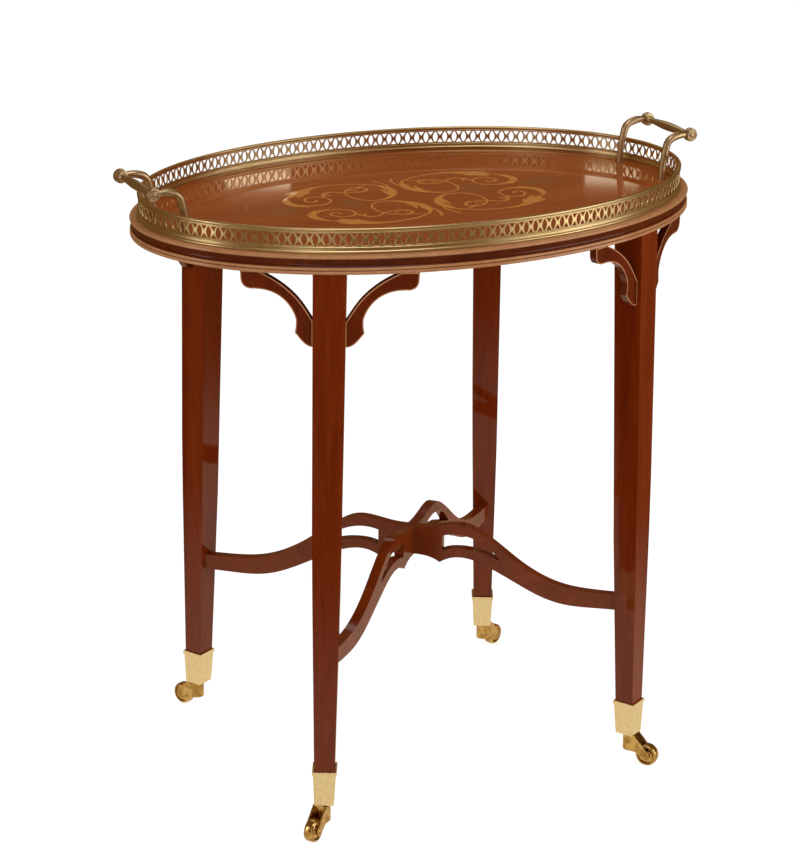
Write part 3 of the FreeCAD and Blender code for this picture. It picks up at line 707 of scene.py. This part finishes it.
def fretUnit(spec, pitch):
    middle = (fretBottom + fretTop) / 2
    bpy.ops.mesh.primitive_cube_add(size=1, location=(pitch / 2, 0, middle))
    unit = bpy.context.object
    unit.scale = (pitch, spec["thickness"], fretTop - fretBottom)
    settle(unit)
    cutAway(unit, lensCutter(spec, pitch / 2, middle))
    for x in (0, pitch):
        for side in (1, -1):
            cutAway(unit, notchCutter(spec, x, middle, side))
    deselectFaces(unit)
    for face in unit.data.polygons:  # the cut ends go, because the next unit joins on there
        atEnd = face.center.x < spec["endGap"] or face.center.x > pitch - spec["endGap"]
        face.select = atEnd and abs(face.normal.x) > 0.9
    bpy.ops.object.mode_set(mode="EDIT")
    bpy.ops.mesh.delete(type="FACE")
    bpy.ops.mesh.select_all(action="SELECT")
    bpy.ops.mesh.remove_doubles(threshold=weldGap)
    bpy.ops.mesh.dissolve_limited(angle_limit=math.radians(1))
    closeMesh()
    return unit


def piercedFret(spec):
    path = ovalPath("fretPath", ovalHalfLength - spec["inset"], ovalHalfWidth - spec["inset"])
    pitch = path.data.splines[0].calc_length() / spec["units"]
    strip = fretUnit(spec, pitch)
    change(strip, "ARRAY", count=spec["units"], use_relative_offset=False, use_constant_offset=True,
           constant_offset_displace=(pitch, 0, 0), use_merge_vertices=True, merge_threshold=spec["endGap"])
    change(strip, "CURVE", object=path, deform_axis="POS_X")
    pick(path)
    bpy.ops.object.delete()
    weld(strip, spec["weld"])
    easeEdges(strip, spec["edge"], segments=1, angle=40)
    smooth(strip, angle=30)
    strip.name = "gallery_pierced_fret"
    return strip


fit(piercedFret(fret), "tray", "gallery_brass", finishes["galleryBrass"], "gallery_fret")
print("the fret is pierced")


def sweptLine(points, steps, sides, twist="MINIMUM"):
    bpy.ops.curve.primitive_bezier_curve_add()
    piece = bpy.context.object
    line = piece.data.splines[0]
    line.bezier_points.add(len(points) - len(line.bezier_points))
    for knot, (x, y, z, radius) in zip(line.bezier_points, points):
        knot.co = (x * mm, y * mm, z * mm)
        knot.handle_left_type = "AUTO"
        knot.handle_right_type = "AUTO"
        knot.radius = radius
    piece.data.dimensions = "3D"
    piece.data.twist_mode = twist
    piece.data.resolution_u = steps
    piece.data.bevel_depth = 1 * mm
    piece.data.bevel_resolution = sides
    piece.data.use_fill_caps = True
    bpy.ops.object.convert(target="MESH")
    return bpy.context.object


def turned(name, spec):
    axis = Vector(spec["axis"]).normalized()
    turn = axis.to_track_quat("Z", "Y").to_euler()
    start = Vector(spec["start"])
    stations = [(along * mm, radius * mm) for along, radius in spec["stations"]]
    clearSelection()
    here = start + axis * stations[0][0]
    bpy.ops.mesh.primitive_circle_add(
        vertices=spec.get("sides", 40), radius=stations[0][1], fill_type="NOTHING", location=here,
        rotation=turn)
    piece = bpy.context.object
    piece.name = name
    settle(piece)
    openMesh(piece, everything=True)
    for (_, fromRadius), (toPlace, toRadius) in zip(stations, stations[1:]):
        there = start + axis * toPlace
        bpy.ops.mesh.extrude_region_move(TRANSFORM_OT_translate={"value": there - here})
        grow = toRadius / fromRadius
        bpy.ops.transform.resize(value=(grow, grow, grow), center_override=there)
        here = there
    bpy.ops.mesh.select_all(action="SELECT")
    bpy.ops.mesh.remove_doubles(threshold=weldGap)
    bpy.ops.mesh.fill_holes(sides=0)
    bpy.ops.mesh.normals_make_consistent(inside=False)
    closeMesh()
    smooth(piece, spec.get("smooth", 40))
    return piece


def mirroredStations(half):  # listed from the middle outwards, with a middle one kept once
    return [(-along, radius) for along, radius in reversed(half)] + [(a, r) for a, r in half if a > 0]


# a turned piece's stations are the place along its axis and the radius, in mm
grip = {
    "halfStations": [(0.0, 5.6), (4.0, 5.58), (11.0, 5.35), (19.0, 4.85), (26.0, 4.25), (32.0, 3.75),
                     (36.5, 3.55), (38.6, 3.7), (39.5, 4.2), (40.2, 4.75), (41.1, 4.7), (41.6, 4.1),
                     (42.3, 3.9), (42.9, 4.5), (43.4, 5.0), (45.1, 5.0), (45.5, 4.6), (45.5, 3.0)],
}
rosette = {
    "depth": 2.2 * mm,
    "stations": [(0, 5.5), (0, 6.9), (0.4, 7.4), (1.1, 7.4), (1.7, 7.1), (2.0, 6.5), (2.1, 6.0),
                 (1.9, 5.6), (1.3, 5.3), (1.2, 4.9), (1.3, 4.4), (1.7, 4.0), (1.8, 3.7), (1.6, 3.4),
                 (1.3, 3.2), (1.3, 2.9), (1.7, 2.5), (2.1, 1.7), (2.2, 0.9), (2.2, 0.4)],
}


def handleParts(end):
    lowEye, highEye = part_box(end + "_handle_grip")
    centre = Vector(((lowEye.x + highEye.x) / 2, 0, (lowEye.z + highEye.z) / 2))
    spindle = turned(end + "_turned_grip", {
        "start": centre, "axis": (0, 1, 0), "stations": mirroredStations(grip["halfStations"])})
    fit(spindle, "tray", "handle_brass", finishes["handleBrass"], end + "_handle_grip")
    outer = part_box(end + "_handle_rosettes")[1].y - rosette["depth"]
    caps = []
    for way in (1, -1):
        caps.append(turned("cap", {"start": centre + Vector((0, way * outer, 0)), "axis": (0, way, 0),
                                   "stations": rosette["stations"]}))
    fit(joined(caps, end + "_ringed_rosettes"), "tray", "handle_brass", finishes["handleBrass"],
        end + "_handle_rosettes")


cast = {  # the arm's points are reach, height and radius, in mm
    "halfSpan": 49.0,
    "arm": [(320.0, 716.0, 4.15), (321.6, 735.0, 4.2), (324.4, 751.0, 4.6), (329.0, 762.8, 4.8),
            (341.0, 768.2, 4.8), (348.0, 768.8, 4.3), (353.0, 768.7, 3.5), (358.0, 768.5, 3.2)],
    "eye": [(-3.5, 7.5), (-3.2, 8.1), (-2.5, 8.4), (2.5, 8.4), (3.2, 8.1), (3.5, 7.5)],
    "eyeCentre": (360.0, 768.0),
    "stud": [(705.0, 2.2), (714.0, 2.2), (715.9, 4.2), (716.5, 4.2), (716.8, 3.9)],
}


def castPost(node, way, side):
    y = side * cast["halfSpan"]
    arm = sweptLine([(way * reach, y, height, radius) for reach, height, radius in cast["arm"]],
                    steps=10, sides=6)
    reach, height = cast["eyeCentre"]
    eye = turned("eye", {"start": (way * reach * mm, y * mm, height * mm), "axis": (0, 1, 0),
                         "stations": cast["eye"]})
    footReach = cast["arm"][0][0]
    stud = turned("stud", {"start": (way * footReach * mm, y * mm, 0), "axis": (0, 0, 1), "sides": 24,
                           "stations": cast["stud"]})
    piece = joined([arm, eye, stud], node + "_cast")
    weld(piece)
    smooth(piece, angle=40)
    return piece


for end, way in (("left", -1), ("right", 1)):
    handleParts(end)
    for side, sideWay in (("front", -1), ("rear", 1)):
        postNode = end + "_" + side + "_handle_post"
        fit(castPost(postNode, way, sideWay), "tray", "handle_brass", finishes["handleBrass"], postNode)
print("handles are turned and cast")


inlay = {
    "rise": 0.022, "steps": 9, "weld": 0.0005 * mm,
    "borderHalf": (217, 119), "borderWidth": 0.9, "borderRise": 0.05, "borderSunk": 0.3,
}
# one quarter of the scrollwork, the one at the left and the rear: x, y and half the width, in mm
scrolls = {
    "mainScroll": [(-25, 78, 1.3), (-38, 86, 1.4), (-55, 91.5, 1.5), (-72, 93.5, 1.7), (-87, 92.5, 2.4),
                   (-99, 89, 4.2), (-109, 83, 6.6), (-119, 75, 8.0), (-128, 68, 6.0), (-135, 63, 3.0),
                   (-139, 59, 0.6)],
    "mainLobeHigh": [(-114, 83, 3.6), (-124, 80, 4.2), (-132, 77, 2.6), (-139, 73, 0.5)],
    "mainLobeMiddle": [(-122, 72, 4.6), (-131, 70, 3.6), (-139, 66, 0.6)],
    "mainLobeLow": [(-118, 70, 4.6), (-125, 62, 4.0), (-131, 54, 0.6)],
    "leafNib": [(-108, 80, 4.0), (-112, 71, 3.4), (-113, 64, 0.5)],
    "outerSpiral": [(-139, 62, 0.6), (-146, 55, 2.2), (-151, 46, 4.2), (-153, 36, 5.2), (-151, 26, 5.2),
                    (-144, 18, 4.2), (-133, 13, 2.8), (-120, 12, 1.9), (-108, 17, 1.5), (-101, 26, 1.4),
                    (-100, 36, 1.4), (-104, 45, 1.5), (-112, 50, 1.5), (-121, 49, 1.5), (-128, 42, 1.5),
                    (-130, 33, 1.5), (-125, 28, 1.6), (-118, 31, 1.8), (-117, 36, 1.0)],
    "spiralTip": [(-148, 19, 2.6), (-142, 12, 2.0), (-137, 7, 0.4)],
    "link": [(-101, 41, 1.0), (-100, 49, 1.8), (-96, 57, 2.2), (-89, 62, 1.8), (-80, 61, 1.4), (-73, 56, 1.4),
             (-68, 50, 1.2)],
    "linkBud": [(-97, 55, 1.8), (-93, 50, 1.8), (-90, 45, 0.5)],
    "innerRing": [(-29, 78, 0.6), (-41, 71, 1.5), (-53, 69, 1.6), (-63, 62, 1.5), (-70, 51, 1.4),
                  (-72, 38, 1.4), (-70, 22, 1.4), (-62, 9, 1.5), (-48, 4, 1.6), (-35, 7, 2.1),
                  (-25, 15, 3.4), (-17, 26, 5.2), (-12.5, 38, 5.4), (-10.5, 50, 4.0), (-12, 61, 2.6),
                  (-17, 70, 1.6), (-25, 78, 1.3)],
    "innerLobe": [(-23, 22, 2.6), (-22, 34, 3.0), (-22, 43, 2.0), (-25, 50, 0.5)],
    "innerTip": [(-15, 46, 3.4), (-15, 57, 2.4), (-17, 68, 1.2), (-20, 78, 0.5)],
    "ringCurl": [(-70, 52, 1.0), (-62, 50, 1.5), (-53, 49, 1.6), (-44, 50, 1.8), (-38, 56, 2.1),
                 (-37, 64, 1.8), (-43, 67, 1.4), (-49, 64, 0.8)],
    "ringBud": [(-62, 62, 0.8), (-54, 57, 1.4), (-49, 57, 0.6)],
    "stem": [(-9, 50, 1.0), (-6.5, 62, 1.4), (-7.5, 75, 1.5), (-11, 87, 1.7), (-14, 93, 0.7)],
}


def scrollwork():
    strands = [sweptLine([(x, y, 0, half) for x, y, half in points], inlay["steps"], sides=1, twist="Z_UP")
               for points in scrolls.values()]
    quarter = joined(strands, "scrollQuarter")
    quarter.scale = (1, 1, inlay["rise"])  # the round strands are pressed almost flat into the veneer
    quarter.location.z = floorTop
    settle(quarter)
    quarters = [quarter]
    for flip in ((-1, 1, 1), (1, -1, 1), (-1, -1, 1)):
        pick(quarter)
        bpy.ops.object.duplicate()
        other = bpy.context.object
        other.scale = flip
        settle(other)
        quarters.append(other)
    whole = joined(quarters, "marquetry_scrolls")
    weld(whole, inlay["weld"])
    smooth(whole, angle=60)
    return whole


def borderLine(name):
    halfLength, halfWidth = inlay["borderHalf"]
    half, rise, sunk = inlay["borderWidth"] / 2, inlay["borderRise"], -inlay["borderSunk"]
    outline = [(-half, sunk), (half, sunk), (half, rise / 2), (0, rise), (-half, rise / 2)]
    return sweptOval(name, halfLength * mm, halfWidth * mm, outline, floorTop)


fit(scrollwork(), "tray", "marquetry", finishes["satinwoodScroll"])
fit(borderLine("marquetry_border_line"), "tray", "marquetry", finishes["faintString"])
finishNode("marquetry_panel", finishes["tableVeneer"])
print("marquetry is laid")


joinery = {"legEdge": 1.1 * mm, "legTurn": 28, "bracketEdge": 0.35 * mm, "string": 1.35 * mm,
           "stretcherEdge": 0.7 * mm}


def bracket(corner, side):
    node = "bracket_" + corner + "_" + side
    piece = nodeCopy(node, "strung_" + node)
    piece.data.materials.append(finishes["mahoganyBracket"])
    piece.data.materials.append(finishes["boxwoodString"])
    sideX, sideY = legSides[corner]
    turn = math.radians(joinery["legTurn"])
    away = Vector((sideX * math.sin(turn), sideY * math.cos(turn), 0))
    deselectFaces(piece)
    front = max(piece.data.polygons, key=lambda face: face.area * max(0.0, face.normal.dot(away)))
    front.select = True
    front.material_index = 1
    bpy.ops.object.mode_set(mode="EDIT")
    bpy.ops.mesh.inset(thickness=joinery["string"], depth=0)  # leaves the light line round the edge
    piece.active_material_index = 0
    bpy.ops.object.material_slot_assign()
    closeMesh()
    easeEdges(piece, joinery["bracketEdge"])
    smoothFlats(piece)
    fit(piece, "stand", "mahogany_bracket", None, node)


for corner in legSides:
    easedNode("leg_" + corner, "tapered_leg_" + corner, "stand", "mahogany_leg", finishes["mahoganyLeg"],
              joinery["legEdge"], segments=3)
    bracket(corner, "end")
    bracket(corner, "side")
for node, stretcherFinish in (("stretcher_front_left_to_rear_right", "mahoganyStretcherLeft"),
                              ("stretcher_rear_left_to_front_right", "mahoganyStretcherRight")):
    easedNode(node, "serpentine_" + node, "stand", "mahogany_stretcher", finishes[stretcherFinish],
              joinery["stretcherEdge"])
print("the stand's joinery is done")


caster = {
    "socketEdge": 0.5 * mm, "forkEdge": 0.55 * mm,
    "wheelHalf": [(0.0, 14.0), (3.2, 13.95), (4.8, 13.6), (5.9, 12.8), (6.35, 11.9), (6.2, 11.2),
                  (5.2, 10.6), (3.8, 10.1), (3.4, 9.2), (3.4, 6.4), (3.8, 5.4), (5.0, 4.9), (5.6, 4.4),
                  (5.8, 3.6), (5.8, 2.3)],
    "axleHalf": [(8.8, 2.15), (8.8, 3.2), (9.0, 3.2), (9.45, 2.6), (9.8, 1.7), (9.95, 0.6)],
}


def casterParts(corner):
    easedNode("caster_socket_" + corner, "lipped_socket_" + corner, "stand", "socket_brass",
              finishes["socketBrass"], caster["socketEdge"])
    easedNode("caster_fork_" + corner, "horned_fork_" + corner, "caster_horn_" + corner, "caster_brass",
              finishes["casterBrass"], caster["forkEdge"])
    axleLow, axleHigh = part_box("caster_axle_" + corner)
    hub = (axleLow + axleHigh) / 2
    joint = next(j for j in frame["joints"] if j["name"] == "roll_" + corner)
    axis = Vector(joint["axis"]).normalized()
    outline = mirroredStations(caster["wheelHalf"])  # closed by its first station, through the bore
    rim = turned("rolled_wheel_" + corner, {
        "start": hub, "axis": axis, "sides": 56, "smooth": 42, "stations": outline + outline[:1]})
    fit(rim, "wheel_" + corner, "caster_brass", finishes["casterBrass"], "caster_wheel_" + corner)
    pin = turned("riveted_axle_" + corner, {
        "start": hub, "axis": axis, "sides": 24, "stations": mirroredStations(caster["axleHalf"])})
    fit(pin, "caster_horn_" + corner, "caster_pin", finishes["casterBrass"], "caster_axle_" + corner)


for corner in legSides:
    casterParts(corner)
    finishNode("caster_spindle_" + corner, finishes["screwSteel"])
print("casters are on")


for node in ("leg_screws", "bracket_screws", "gallery_screws", "handle_nuts"):
    finishNode(node, finishes["screwSteel"])
finishNode("top_frame", finishes["mahoganyBoard"])
finishNode("tray_board", finishes["mahoganyBoard"])
finishNode("locating_pegs", finishes["beechFrame"])
finishNode("stretcher_dowels", finishes["beechFrame"])

print("all pieces are fitted")
